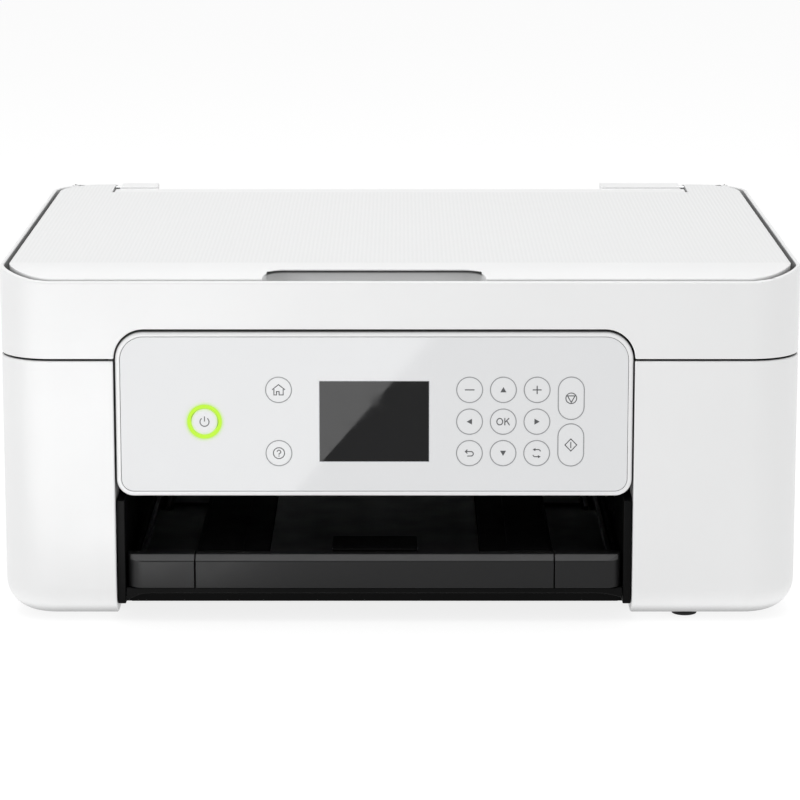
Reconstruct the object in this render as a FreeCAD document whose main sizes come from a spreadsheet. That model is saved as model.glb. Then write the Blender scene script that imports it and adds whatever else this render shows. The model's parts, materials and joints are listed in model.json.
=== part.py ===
import FreeCAD, Part
import math
import os
import Sketcher

# Compact flatbed inkjet printer with scanner, front cassette and tilting control panel.
# Millimetres, +Z up, front at -Y, origin at the centre of the footprint on the floor.

DIMENSIONS = {
    # overall casing
    "case_width": 375, "case_depth": 300, "case_base": 2, "corner_radius": 25,
    "base_radius": 15, "shell_wall": 2.5, "lower_top": 125.4, "upper_base": 126.4,
    "rim_top": 167.4, "rear_relief": 123.6,
    # gently falling front edge of the lid and rim
    "roll_start": -127, "roll_radius": 53.8,
    # control panel bay between the two front pillars
    "bay_left": -133.4, "bay_right": 109.2, "bay_top": 140.4, "bay_back": -126,
    "panel_base": 61.2, "panel_top": 139.1, "panel_front": -149.6, "panel_back": -128,
    "fascia_front": -149.5, "fascia_back": -147.4,
    # lid
    "lid_half_width": 183.0, "lid_front": -147.7, "lid_rear": 147, "lid_base": 158.5,
    "lid_top": 168, "lid_axis_depth": 145, "lid_axis_height": 166, "pin_radius": 1.2,
    "deck_top": 158, "ear_inner": 155, "lid_back_edge": 114.3,
    # scanner
    "scanner_axis_depth": 146, "scanner_axis_height": 126, "stay_radius": 200, "stay_angle": 33,
    # paper path
    "cassette_left": -123, "cassette_right": 100, "cassette_floor": 17, "bar_top": 32.5, "bar_slope": 2.8,
    "tray_left": -96.2, "tray_right": 72.3, "tray_floor": 29,
    "roller_depth": 12, "roller_height": 58, "eject_depth": -62,
    "gear_radius": 27.85, "pinion_radius": 8.85, "roller_shaft": 4, "shaft_play": 0.06,
    # print carriage
    "carriage_left": 80, "carriage_right": 146, "rod_depth": 46, "rod_height": 85,
    # back wall: rear cover opening, inlet and socket, screws
    "door_left": -115, "door_right": 92, "door_base": 40, "door_top": 112,
    "inlet_left": 118, "inlet_right": 146, "inlet_base": 20, "inlet_top": 44,
    "socket_left": -146, "socket_right": -132, "socket_base": 60, "socket_top": 72,
    "screw_sink": 1.2, "pan_left": -129, "pan_right": 104.8, "pan_top": 16.3,
    # clearances
    "gap": 0.3, "play": 0.05, "fit": 0.1, "door_play": 0.4,
}

LEFT = "-dims.case_width / 2"
RIGHT = "dims.case_width / 2"
FRONT = "-dims.case_depth / 2"
REAR = "dims.case_depth / 2"

# Keys of the control panel: name, centre x and centre z.
KEY_COLUMNS = (32.4, 48.1, 63.8)
KEY_ROWS = (111.8, 96.7, 81.7)
ROUND_KEYS = (
    ("minus_button", KEY_COLUMNS[0], KEY_ROWS[0]),
    ("up_button", KEY_COLUMNS[1], KEY_ROWS[0]),
    ("plus_button", KEY_COLUMNS[2], KEY_ROWS[0]),
    ("left_button", KEY_COLUMNS[0], KEY_ROWS[1]),
    ("ok_button", KEY_COLUMNS[1], KEY_ROWS[1]),
    ("right_button", KEY_COLUMNS[2], KEY_ROWS[1]),
    ("back_button", KEY_COLUMNS[0], KEY_ROWS[2]),
    ("down_button", KEY_COLUMNS[1], KEY_ROWS[2]),
    ("turn_button", KEY_COLUMNS[2], KEY_ROWS[2]),
    ("home_button", -56.5, KEY_ROWS[0]),
    ("help_button", -56.5, KEY_ROWS[2]),
)
LONG_KEY_COLUMN = 79.7
LONG_KEYS = (("stop_button", LONG_KEY_COLUMN, 107.8), ("start_button", LONG_KEY_COLUMN, 85.6))
POWER_KEY = ("power_button", -91.1, KEY_ROWS[1])
KEY_HOLE = 6.2
KEY_RADIUS = 5.85
LONG_KEY_HALF = 4.05
POWER_RADIUS = 6.1
RING_INNER = 6.5
RING_OUTER = 8.0
DISPLAY = (-37.6, 13.6, 77.6, 116.0)
FOOT_PLACES = ((135.4, -131), (-150, -105), (-150, 105), (140, 105))
SCREW_PLACES = ((-130, 24), (104, 24), (-130, 114), (104, 114))

ALONG_X = FreeCAD.Rotation(FreeCAD.Vector(0, 1, 0), 90)
ALONG_Y = FreeCAD.Rotation(FreeCAD.Vector(1, 0, 0), -90)
ALONG_Z = FreeCAD.Rotation()

doc = FreeCAD.newDocument("printer")
sub_parts = []


def make_sheet():
    """Driving dimensions as plain numbers with aliases."""
    sheet = doc.addObject("Spreadsheet::Sheet", "dims")
    for row, (alias, value) in enumerate(DIMENSIONS.items(), start=1):
        sheet.set("A%d" % row, alias)
        sheet.set("B%d" % row, str(value))
        sheet.setAlias("B%d" % row, alias)
    doc.recompute()


def keep(obj, label):
    """Name a finished sub-part and list it for export."""
    obj.Label = label
    sub_parts.append(obj)
    return obj


def block(name, low, high):
    """Box between two corners given as numbers or expressions."""
    box = doc.addObject("Part::Box", name)
    for side, axis, start, end in zip(("Length", "Width", "Height"), "xyz", low, high):
        box.setExpression(side, "(%s) - (%s)" % (end, start))
        box.setExpression("Placement.Base.%s" % axis, str(start))
    return box


def rod(name, base, radius, length, turn=ALONG_X):
    """Cylinder from a base point, along X unless turned otherwise."""
    cylinder = doc.addObject("Part::Cylinder", name)
    cylinder.Placement = FreeCAD.Placement(FreeCAD.Vector(), turn)
    cylinder.setExpression("Radius", str(radius))
    cylinder.setExpression("Height", str(length))
    for axis, start in zip("xyz", base):
        cylinder.setExpression("Placement.Base.%s" % axis, str(start))
    return cylinder


def fuse(name, *shapes):
    joined = doc.addObject("Part::MultiFuse", name)
    joined.Shapes = list(shapes)
    joined.Refine = True
    return joined


def cut(name, base, *tools):
    result = doc.addObject("Part::Cut", name)
    result.Base = base
    result.Tool = tools[0] if len(tools) == 1 else fuse(name + "_tools", *tools)
    result.Refine = True
    return result


def common(name, first, second):
    result = doc.addObject("Part::Common", name)
    result.Base = first
    result.Tool = second
    result.Refine = True
    return result


def group(name, shapes):
    """Separate identical solids held as one sub-part."""
    compound = doc.addObject("Part::Compound", name)
    compound.Links = list(shapes)
    return compound


def add_sketch(body, role, offset):
    """Empty sketch on one of the body's origin planes, moved along its normal."""
    sketch = body.newObject("Sketcher::SketchObject", body.Name + "_sketch")
    plane = next(item for item in body.Origin.OriginFeatures if item.Role == role)
    sketch.AttachmentSupport = [(plane, "")]
    sketch.MapMode = "FlatFace"
    sketch.setExpression("AttachmentOffset.Base.z", str(offset))
    return sketch


def value_of(owner, expression):
    return float(owner.evalExpression(str(expression)))


def fix_point(sketch, geometry, vertex, place):
    """Pin one sketch vertex with two bound distances."""
    for kind, expression in zip(("DistanceX", "DistanceY"), place):
        value = value_of(sketch, expression)
        index = sketch.addConstraint(
            Sketcher.Constraint(kind, -1, 1, geometry, vertex, value))
        sketch.renameConstraint(index, "%s_%d_%d" % (kind, geometry, vertex))
        sketch.setExpression("Constraints.%s_%d_%d" % (kind, geometry, vertex), str(expression))


def draw_outline(sketch, corners):
    """Closed straight-sided outline whose corners are bound to expressions."""
    count = len(corners)
    first = sketch.GeometryCount
    points = [FreeCAD.Vector(value_of(sketch, u), value_of(sketch, v), 0) for u, v in corners]
    for index in range(count):
        line = Part.LineSegment(points[index], points[(index + 1) % count])
        sketch.addGeometry(line, False)
    for index in range(count):
        after = first + (index + 1) % count
        sketch.addConstraint(Sketcher.Constraint("Coincident", first + index, 2, after, 1))
    for index, corner in enumerate(corners):
        fix_point(sketch, first + index, 1, corner)


def draw_circle(sketch, centre, radius):
    index = sketch.addGeometry(
        Part.Circle(FreeCAD.Vector(centre[0], centre[1], 0), FreeCAD.Vector(0, 0, 1), radius), False)
    fix_point(sketch, index, 3, centre)
    sketch.addConstraint(Sketcher.Constraint("Radius", index, radius))


ROLES = {"XY": "XY_Plane", "XZ": "XZ_Plane", "YZ": "YZ_Plane"}


def pad_outline(name, plane, corners, start, end):
    """Body with one straight-sided outline padded between two planes."""
    body = doc.addObject("PartDesign::Body", name)
    offset = "-(%s)" % end if plane == "XZ" else start
    sketch = add_sketch(body, ROLES[plane], offset)
    draw_outline(sketch, corners)
    pad = body.newObject("PartDesign::Pad", name + "_pad")
    pad.Profile = sketch
    pad.setExpression("Length", "(%s) - (%s)" % (end, start))
    doc.recompute()
    return body


def rectangle(low, high):
    return ((low[0], low[1]), (high[0], low[1]), (high[0], high[1]), (low[0], high[1]))


def round_edges(body, radius, chosen):
    """Fillet the edges of the body's tip that a test function picks."""
    base = body.Tip
    names = ["Edge%d" % number for number, edge in enumerate(base.Shape.Edges, start=1) if chosen(edge)]
    fillet = body.newObject("PartDesign::Fillet", body.Name + "_fillet")
    fillet.Base = (base, names)
    fillet.setExpression("Radius", str(radius))
    body.Tip = fillet
    doc.recompute()
    return body


def runs_along(edge, direction):
    """True for a straight edge parallel to a direction."""
    if not isinstance(edge.Curve, Part.Line):
        return False
    return abs(edge.Curve.Direction.dot(direction)) > 0.999


UP = FreeCAD.Vector(0, 0, 1)
BACK = FreeCAD.Vector(0, 1, 0)
ACROSS = FreeCAD.Vector(1, 0, 0)


def upright(edge):
    return runs_along(edge, UP)


def rounded_plan(name, low, high, base, top, radius):
    """Upright prism with a rounded rectangular plan."""
    body = pad_outline(name, "XY", rectangle(low, high), base, top)
    return round_edges(body, radius, upright)


def rounded_front(name, low, high, front, back, upper_radius, lower_radius):
    """Prism along Y with rounded corners, larger at the top than at the bottom."""
    middle = "((%s) + (%s)) / 2" % (low[1], high[1])
    body = pad_outline(name, "XZ", rectangle(low, high), front, back)
    level = value_of(body, middle)
    if upper_radius:
        round_edges(body, upper_radius,
                    lambda edge: runs_along(edge, BACK) and edge.CenterOfMass.z > level)
    if lower_radius:
        round_edges(body, lower_radius,
                    lambda edge: runs_along(edge, BACK) and edge.CenterOfMass.z < level)
    return body


# ---------------------------------------------------------------- lower casing

def casing_solid(name, inset, top):
    """Outer casing volume, or the same moved inwards, with its rounded lower edge."""
    low = ("%s + %s" % (LEFT, inset), "%s + %s" % (FRONT, inset))
    high = ("%s - %s" % (RIGHT, inset), "%s - %s" % (REAR, inset))
    base = "dims.case_base + %s" % inset
    body = rounded_plan(name, low, high, base, top, "dims.corner_radius - %s" % inset)
    level = value_of(body, base)
    return round_edges(body, "dims.base_radius - %s" % inset,
                       lambda edge: abs(edge.BoundBox.ZMax - level) < 0.01)


def lower_shell(name):
    outer = casing_solid(name + "_outer", "0", "dims.lower_top")
    inner = casing_solid(name + "_inner", "dims.shell_wall", "dims.lower_top + 10")
    return outer, cut(name, outer, inner)


def side_cover(label, outer, shell, limits, sign):
    """White side cover: side wall, both corners, front pillar and its inner return wall."""
    front_edge, rear_edge, edge = limits
    reach = "(%d) * (dims.case_width / 2 + 5)" % sign

    def span(name, inner_x, y_low, y_high, z_low, z_high):
        low_x, high_x = (reach, inner_x) if sign < 0 else (inner_x, reach)
        return block(label + name, (low_x, y_low, z_low), (high_x, y_high, z_high))

    region = fuse(label + "_region",
                  span("_front", front_edge, FRONT + " - 5", 0, 0, "dims.lower_top + 5"),
                  span("_back", rear_edge, 0, REAR + " + 5", 0, "dims.lower_top + 5"))
    skin = common(label + "_skin", shell, region)
    wall_far = "%s + (%d) * dims.shell_wall" % (front_edge, sign)
    low_x, high_x = (wall_far, front_edge) if sign < 0 else (front_edge, wall_far)
    wall_box = block(label + "_wall_box", (low_x, FRONT, 0),
                     (high_x, "dims.bay_back + 1.5", "dims.lower_top"))
    wall = common(label + "_wall", outer, wall_box)
    lip = (front_edge, edge) if sign > 0 else (edge, front_edge)
    floor = block(label + "_floor", ("(%s) - 40" % lip[0] if sign > 0 else lip[0], -124.5, 0),
                  (lip[1] if sign > 0 else "(%s) + 40" % lip[1], 124.5, "dims.case_base + 4"))
    relief = span("_relief", 0, "dims.scanner_axis_depth - 0.5", REAR + " + 5",
                  "dims.rear_relief", "dims.lower_top + 5")
    return keep(cut(label, fuse(label + "_body", skin, wall), floor, relief), label)


def side_covers():
    outer, shell = lower_shell("lower_shell")
    side_cover("left_side_cover", outer, shell, ("dims.bay_left", -150, -164.5), -1)
    side_cover("right_side_cover", outer, shell, ("dims.bay_right", 150, 164.5), 1)
    return shell


def rear_panel(shell):
    """Back wall with openings for the rear cover, power inlet and data socket."""
    start, past = 140, REAR + " + 5"
    region = block("rear_region", ("-150 + dims.gap", 124.5, 0), ("150 - dims.gap", past, "dims.rear_relief"))
    wall = common("rear_wall", shell, region)

    def opening(name, play):
        return block(name + "_hole",
                     ("dims.%s_left - %s" % (name, play), start, "dims.%s_base - %s" % (name, play)),
                     ("dims.%s_right + %s" % (name, play), past, "dims.%s_top + %s" % (name, play)))

    tools = [opening("door", 0), opening("inlet", "dims.fit"), opening("socket", "dims.fit")]
    first_vent, vent_pitch, vent_width, vent_base, vent_top = 110, 4, 1.8, 62, 98
    for number in range(9):
        x = first_vent + vent_pitch * number
        tools.append(block("vent_%d" % number, (x, start, vent_base), (x + vent_width, past, vent_top)))
    hole_radius, seat_radius = 1.7, 3.4
    for number, (x, z) in enumerate(SCREW_PLACES):
        seat = REAR + " - dims.screw_sink"
        tools.append(rod("screw_hole_%d" % number, (x, start, z), hole_radius, 20, ALONG_Y))
        tools.append(rod("screw_seat_%d" % number, (x, seat, z), seat_radius, 10, ALONG_Y))
    keep(cut("rear_panel", wall, *tools), "rear_panel")


def case_screws():
    """Cross-head screws, each sunk in its seat in the back wall."""
    screws = []
    head_radius, head_height, shank_radius, shank_length = 3.2, 1.0, 1.5, 8
    long, narrow = 2, 0.4
    under_head, recess = REAR + " - dims.screw_sink", REAR + " - 0.7"
    for number, (x, z) in enumerate(SCREW_PLACES):
        head = rod("screw_head_%d" % number, (x, under_head, z), head_radius, head_height, ALONG_Y)
        shank = rod("screw_shank_%d" % number, (x, "%s - %d" % (under_head, shank_length), z), shank_radius,
                    shank_length + 0.1, ALONG_Y)
        slot = block("screw_slot_%d" % number, (x - long, recess, z - narrow), (x + long, REAR, z + narrow))
        cross = block("screw_cross_%d" % number, (x - narrow, recess, z - long), (x + narrow, REAR, z + long))
        screws.append(cut("screw_%d" % number, fuse("screw_blank_%d" % number, head, shank), slot, cross))
    keep(group("case_screws", screws), "case_screws")


def base_pan():
    """Dark base tray: raised front lip between the pillars, floor, cassette walls and rails."""
    left_flare, right_flare, lip_base = 17, 39, 13.6
    flare_start, flare_end = -118, 91.6
    left, right, top = "dims.pan_left", "dims.pan_right", "dims.pan_top"
    base, floor_top, wall_top = "dims.case_base", "dims.case_base + 3", 29
    lip_back, riser_front, riser_back, rear_edge, half_floor = -144.5, -117.5, -115, 124, 164
    lip = cut("base_lip", block("base_lip_blank", (left, -147, 8.9), (right, lip_back, top)),
              block("base_lip_relief", (flare_start, -150, 0), (flare_end, -140, lip_base)),
              rod("left_flare", (flare_start, -150, lip_base - left_flare), left_flare, 10, ALONG_Y),
              rod("right_flare", (flare_end, -150, lip_base - right_flare), right_flare, 10, ALONG_Y))
    ledge = block("base_ledge", (left, lip_back, lip_base), (right, riser_back, top))
    riser = block("base_riser", (left, riser_front, base), (right, riser_back, top))
    floor = block("base_floor", (-half_floor, -117, base), (half_floor, rear_edge, floor_top))
    parts = [lip, ledge, riser, floor]
    for number, (low_x, high_x) in enumerate(((-half_floor, -136.4), (112.2, half_floor))):
        parts.append(block("base_corner_%d" % number, (low_x, -rear_edge, base), (high_x, -116, floor_top)))
    wall_base, wall_width, rail_width = base + " + 2", 2, 4
    for number, x in enumerate((-126, 101.5)):
        parts.append(block("base_wall_%d" % number, (x, riser_back, wall_base),
                           (x + wall_width, rear_edge, wall_top)))
    for number, x in enumerate((-100, -12, 72)):
        parts.append(block("base_rail_%d" % number, (x, -117, wall_base),
                           (x + rail_width, rear_edge, "dims.cassette_floor - dims.gap")))
    keep(fuse("base_pan", *parts), "base_pan")


def rubber_feet():
    feet = [rod("foot_%d" % number, (x, y, 0), 6, "dims.case_base", ALONG_Z)
            for number, (x, y) in enumerate(FOOT_PLACES)]
    keep(group("rubber_feet", feet), "rubber_feet")


def inner_frame():
    """Black inner moulding: mouth posts and ceiling, wall behind the panel, deck with the ink bay."""
    outer_left, outer_right = "dims.bay_left + dims.gap", "dims.bay_right - dims.gap"
    inner_left, inner_right = -129.2, 105
    post_front, post_back, post_base, post_top = -146.5, -68.5, 8.4, 58.3
    ceiling, ceiling_top, wall_back = 63, 65.5, "dims.bay_back + 2.5"
    deck_base, deck_top, under, over = 119.5, 122, 110, 130
    parts = [
        block("post_left", (outer_left, post_front, post_base), (inner_left, post_back, post_top)),
        block("post_right", (inner_right, post_front, post_base), (outer_right, post_back, post_top)),
        block("upper_post_left", (outer_left, "dims.bay_back", 58), (inner_left, post_back, ceiling_top)),
        block("upper_post_right", (inner_right, "dims.bay_back", 58), (outer_right, post_back, ceiling_top)),
        block("mouth_ceiling", (inner_left - 0.2, "dims.bay_back", ceiling),
              (inner_right + 0.2, post_back, ceiling_top)),
        block("bay_wall", (outer_left, "dims.bay_back", ceiling), (outer_right, wall_back, deck_top)),
    ]
    plate = rounded_plan("deck_plate", (-184.5, -147), (184.5, 147), deck_base, deck_top, 22)
    holes = [
        block("deck_bay", (-148, -78, under), (150, 60, over)),
        block("deck_front", ("dims.bay_left - 3", -160, under), ("dims.bay_right + 3", wall_back, over)),
        block("deck_stay", (157, -66, under), (167, -42, over)),
    ]
    deck = cut("deck", plate, *holes)
    keep(fuse("inner_frame", deck, *parts), "inner_frame")


# ---------------------------------------------------------------- print mechanism

def chassis():
    """Folded sheet-steel frame that carries the rollers, rod and motors."""
    front, back, base, top, sheet = -75, 62, "dims.case_base + 3", 117, 1.2
    parts = [
        block("chassis_left", (-150, front, base), (-150 + sheet, back, top)),
        block("chassis_right", (148, front, base), (148 + sheet, back, top)),
        block("chassis_back", (-149, back - sheet, 45), (148.5, back, top)),
    ]
    holes = [
        rod("feed_bearing", (-160, "dims.roller_depth", "dims.roller_height"),
            "dims.roller_shaft + dims.shaft_play", 320),
        rod("eject_bearing", (-160, "dims.eject_depth", "dims.roller_height"),
            "dims.roller_shaft + dims.shaft_play", 320),
        rod("motor_hole", (136, 50, 108), 3, 20, ALONG_Y),
    ]
    keep(cut("chassis", fuse("chassis_plates", *parts), *holes), "chassis")


def drive_parts():
    """Carriage rod, toothless belt loop, pulley and the two motors."""
    keep(rod("carriage_rod", (-148.8, "dims.rod_depth", "dims.rod_height"), 4, 296.8), "carriage_rod")
    pulley_x, pulley_z, pulley_radius, bend, thickness = 136, 108, 4.3, 5.65, 1
    spindle_radius, bore_radius = 1.5, 1.55
    outer = rounded_front("belt_outer", (-143, 102.3), (142, 113.7), 53, 57, bend, bend)
    inner_bend = bend - thickness
    inner = rounded_front("belt_inner", (-142, 103.3), (141, 112.7), 52, 58, inner_bend, inner_bend)
    keep(cut("carriage_belt", outer, inner), "carriage_belt")
    wheel = rod("pulley_wheel", (pulley_x, 52.5, pulley_z), pulley_radius, 5, ALONG_Y)
    bore = rod("pulley_bore", (pulley_x, 52, pulley_z), bore_radius, 6, ALONG_Y)
    keep(cut("belt_pulley", wheel, bore), "belt_pulley")
    can = rod("carriage_can", (pulley_x, 62, pulley_z - 4), 13, 30, ALONG_Y)
    spindle = rod("carriage_spindle", (pulley_x, 51, pulley_z), spindle_radius, 14, ALONG_Y)
    keep(fuse("carriage_motor", can, spindle), "carriage_motor")
    middle = "(dims.roller_depth + dims.eject_depth) / 2"
    can = rod("feed_can", (-184, middle, "dims.roller_height"), 14, 23)
    spindle = rod("feed_spindle", (-162, middle, "dims.roller_height"), spindle_radius, 9)
    keep(fuse("feed_motor", can, spindle), "feed_motor")
    wheel = rod("pinion_wheel", (-159, middle, "dims.roller_height"), "dims.pinion_radius", 6)
    bore = rod("pinion_bore", (-160, middle, "dims.roller_height"), bore_radius, 8)
    keep(cut("motor_pinion", wheel, bore), "motor_pinion")


def roller(label, depth, radius):
    """Roller with rubber sleeves, shaft through both chassis plates and a drive gear disc."""
    axis = (depth, "dims.roller_height")
    parts = [
        rod(label + "_shaft", (-159, *axis), "dims.roller_shaft", 310),
        rod(label + "_gear", (-159, *axis), "dims.gear_radius", 6),
    ]
    for number in range(4):
        parts.append(rod("%s_sleeve_%d" % (label, number), (-110 + 55 * number, *axis), radius, 34))
    keep(fuse(label, *parts), label)


def paper_platen():
    """Ribbed plate under the print head."""
    parts = [block("platen_plate", (-122, -52, 55), (99, 3, 60))]
    for number in range(12):
        x = -116 + 19 * number
        parts.append(block("platen_rib_%d" % number, (x, -50, 59), (x + 1.6, 1, 62)))
    keep(fuse("paper_platen", *parts), "paper_platen")


def maintenance():
    """Cap and wiper station at the carriage's home, and the felt pad that takes waste ink."""
    housing = block("station_box", (104, -46, 30), (147, 5, 58))
    well = block("station_well", (107, -43, 50), (130, 2, 60))
    cap = block("station_cap", (110, -40, 49), (127, -6, 62))
    dish = block("station_dish", (112, -38, 60), (125, -8, 63))
    wiper = block("station_wiper", (136, -34, 57), (137.2, -12, 65))
    body = fuse("station_body", cut("station_open", housing, well), cut("station_lip", cap, dish), wiper)
    keep(body, "maintenance_station")
    keep(block("waste_ink_pad", (110.5, -110, "dims.case_base + 3.1"), (146, 58, 28)), "waste_ink_pad")


def print_carriage():
    """Carriage that holds the ink cartridges and rides on the rod."""
    wide = ("dims.carriage_left", "dims.carriage_right")
    shell = block("carriage_shell", (wide[0], -55, 76), (wide[1], 36, 112))
    nozzle = block("carriage_nozzle", (wide[0] + " + 27", -40, 66.4), (wide[1] + " - 17", -8, 77))
    bearing = block("carriage_bearing", (wide[0] + " + 4", 35, 77), (wide[1] + " - 4", 54, 93))
    clamp = block("carriage_clamp", (wide[0] + " + 25", 35, 92), (wide[1] + " - 25", 57, 101.8))
    slots = []
    pitch, slot_width, tank_width = 15.4, 14, 13.4
    for number in range(4):
        x = "%s + 2.5 + %s" % (wide[0], pitch * number)
        slots.append(block("carriage_slot_%d" % number, (x, -52.5, 78.5),
                           ("%s + %s" % (x, slot_width), 33.5, 120)))
    bore = rod("carriage_bore", (0, "dims.rod_depth", "dims.rod_height"), "4 + dims.shaft_play", 200)
    body = fuse("carriage_body", shell, nozzle, bearing, clamp)
    keep(cut("print_carriage", body, bore, *slots), "print_carriage")
    cartridges = []
    for number in range(4):
        x = "%s + 2.8 + %s" % (wide[0], pitch * number)
        tank = block("tank_%d" % number, (x, -52, 78.8), ("%s + %s" % (x, tank_width), 33, 113))
        tab = block("tank_tab_%d" % number, (x + " + 3", -52, 113), (x + " + 10.4", -40, 117))
        cartridges.append(fuse("cartridge_%d" % number, tank, tab))
    keep(group("ink_cartridges", cartridges), "ink_cartridges")


def electronics():
    """Main board, power supply, power inlet and data socket."""
    board = block("board_plate", (-175, 137, 34), (-126, 138.6, 112))
    chip = block("board_chip", (-170, 134.5, 70), (-148, 137, 92))
    keep(fuse("mainboard", board, chip), "mainboard")
    keep(block("power_supply", (108, 68, "dims.case_base + 3.2"), (170, 124, 70)), "power_supply")
    shell = block("inlet_shell", ("dims.inlet_left", 124, "dims.inlet_base"),
                  ("dims.inlet_right", REAR + " - 0.2", "dims.inlet_top"))
    recess = block("inlet_recess", ("dims.inlet_left + 2.5", 134, "dims.inlet_base + 2.5"),
                   ("dims.inlet_right - 2.5", REAR, "dims.inlet_top - 2.5"))
    pin_radius, pin_length = 1.2, 15
    pins = [rod("inlet_pin_%d" % number, (x, 128, 32), pin_radius, pin_length, ALONG_Y)
            for number, x in enumerate((127.7, 136.3))]
    keep(fuse("power_inlet", cut("inlet_open", shell, recess), *pins), "power_inlet")
    shell = block("usb_shell", ("dims.socket_left", 138.6, "dims.socket_base"),
                  ("dims.socket_right", REAR + " - 0.2", "dims.socket_top"))
    recess = block("usb_recess", ("dims.socket_left + 1.5", 140.5, "dims.socket_base + 1.2"),
                   ("dims.socket_right - 1.5", REAR, "dims.socket_top - 1.2"))
    tongue = block("usb_tongue", (-141.5, 139.5, 64.6), (-136.5, 145, 67.4))
    keep(fuse("usb_port", cut("usb_open", shell, recess), tongue), "usb_port")


def rear_cover():
    """Removable back cover with the curved guide that turns the sheet."""
    inner_face = REAR + " - dims.shell_wall"
    plate = block("rear_cover_plate",
                  ("dims.door_left + dims.door_play", inner_face, "dims.door_base + dims.door_play"),
                  ("dims.door_right - dims.door_play", REAR, "dims.door_top - dims.door_play"))
    guide = block("rear_guide", (-108, 112, 46), (85, REAR + " - 1", 106))
    bend_radius, grip_width, grip_depth = 28, 16, " - 1.5"
    hollow = rod("rear_guide_bore", (-105, 108, 76), bend_radius, 187)
    grips = [block("rear_grip_%d" % number, (x, REAR + grip_depth, 66), (x + grip_width, REAR, 86))
             for number, x in enumerate((-106, 67))]
    body = cut("rear_guide_shell", guide, hollow)
    keep(cut("rear_cover", fuse("rear_cover_body", plate, body), *grips), "rear_cover")


# ---------------------------------------------------------------- cassette and trays

def front_bar(name, low_x, high_x, back, rounded_end):
    """Stretch of the front bar with its sloped upper edge; an outer end is rounded in plan."""
    face, base, top = FRONT + " + 0.5", 16.7, "dims.bar_top"
    corners = ((face, base), (back, base), (back, top), (face + " + dims.bar_slope", top),
               (face, top + " - dims.bar_slope"))
    body = pad_outline(name, "YZ", corners, low_x, high_x)
    if not rounded_end:
        return body
    end = value_of(body, high_x if rounded_end > 0 else low_x)
    front = value_of(body, face)
    return round_edges(body, 8, lambda edge: upright(edge) and abs(edge.CenterOfMass.x - end) < 0.01
                       and abs(edge.CenterOfMass.y - front) < 0.01)


def paper_cassette():
    """Paper drawer: floor, walls, front wings and the shelves that carry the output tray."""
    left, right = "dims.cassette_left", "dims.cassette_right"
    base = "dims.cassette_floor"
    parts = [
        block("cassette_floor_plate", (left, -140, base), (right, 143, base + " + 2")),
        block("cassette_left_wall", (left, -140, base), (left + " + 2", 143, 31)),
        block("cassette_right_wall", (right + " - 2", -140, base), (right, 143, 31)),
        block("cassette_back_wall", (left, 141, base), (right, 143, 27)),
        block("cassette_front_wall", (left, -140, base), (right, -137.5, 28.7)),
        block("shelf_left", (left, -139, 26.5), (-90, -40, 28.7)),
        block("shelf_right", (66, -139, 26.5), (right, -40, 28.7)),
    ]
    parts.append(front_bar("left_wing", "-128.6", "dims.tray_left - 0.5", -139, -1))
    parts.append(front_bar("right_wing", "dims.tray_right + 0.5", "104.4", -139, 1))
    keep(fuse("paper_cassette", *parts), "paper_cassette")


def edge_guide(label, inner_x, outward):
    """Sliding side guide for the paper's width."""
    outer_x = inner_x + 2 * outward
    low_x, high_x = min(inner_x, outer_x), max(inner_x, outer_x)
    fin = block(label + "_fin", (low_x, -20, 19.3), (high_x, 70, 26))
    foot_low, foot_high = (low_x, inner_x + 26) if outward < 0 else (inner_x - 26, high_x)
    foot = block(label + "_foot", (foot_low, 12, 19.3), (foot_high, 38, 20.4))
    keep(fuse(label, fin, foot), label)


def output_trays():
    """Output tray, its extension with the front bar, and the paper stopper."""
    left, right, base = "dims.tray_left", "dims.tray_right", "dims.tray_floor"
    plate = block("tray_plate", (left, -140, base), (right, 0, base + " + 2.6"))
    channel = block("tray_channel", (-62, -145, base + " + 1"), (38, -8, base + " + 5"))
    ribs = [block("tray_rib_%d" % number, (x, -138, base + " + 2"), (x + 20, -4, base + " + 3.2"))
            for number, x in enumerate((-94, 51))]
    keep(fuse("output_tray", cut("tray_open", plate, channel), *ribs), "output_tray")
    bar = front_bar("extension_bar", left, right, -141, 0)
    slide = block("extension_plate", (-61.5, -142, base + " + 1.3"), (37.5, -20, base + " + 2.5"))
    keep(fuse("tray_extension", bar, slide), "tray_extension")
    flap = block("stopper_flap", (-32, -138.7, base + " + 2.9"), (8, -114, base + " + 4.4"))
    barrel = rod("stopper_barrel", (-32, -138.7, base + " + 3.7"), 0.8, 40)
    keep(fuse("stopper_solid", flap, barrel), "tray_stopper")


# ---------------------------------------------------------------- scanner unit

def crowned(name, base, top):
    """Block whose top falls away in one gentle arc towards the front edge."""
    side = ("%s - 5" % LEFT, "%s + 5" % RIGHT)
    flat = block(name + "_flat", (side[0], "dims.roll_start", base), (side[1], REAR + " + 5", top))
    front = block(name + "_front", (side[0], FRONT + " - 5", base), (side[1], "dims.roll_start + 1", top))
    roll = rod(name + "_roll", (side[0], "dims.roll_start", "%s - dims.roll_radius" % top),
               "dims.roll_radius", "dims.case_width + 10")
    return fuse(name, flat, common(name + "_edge", front, roll))


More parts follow.
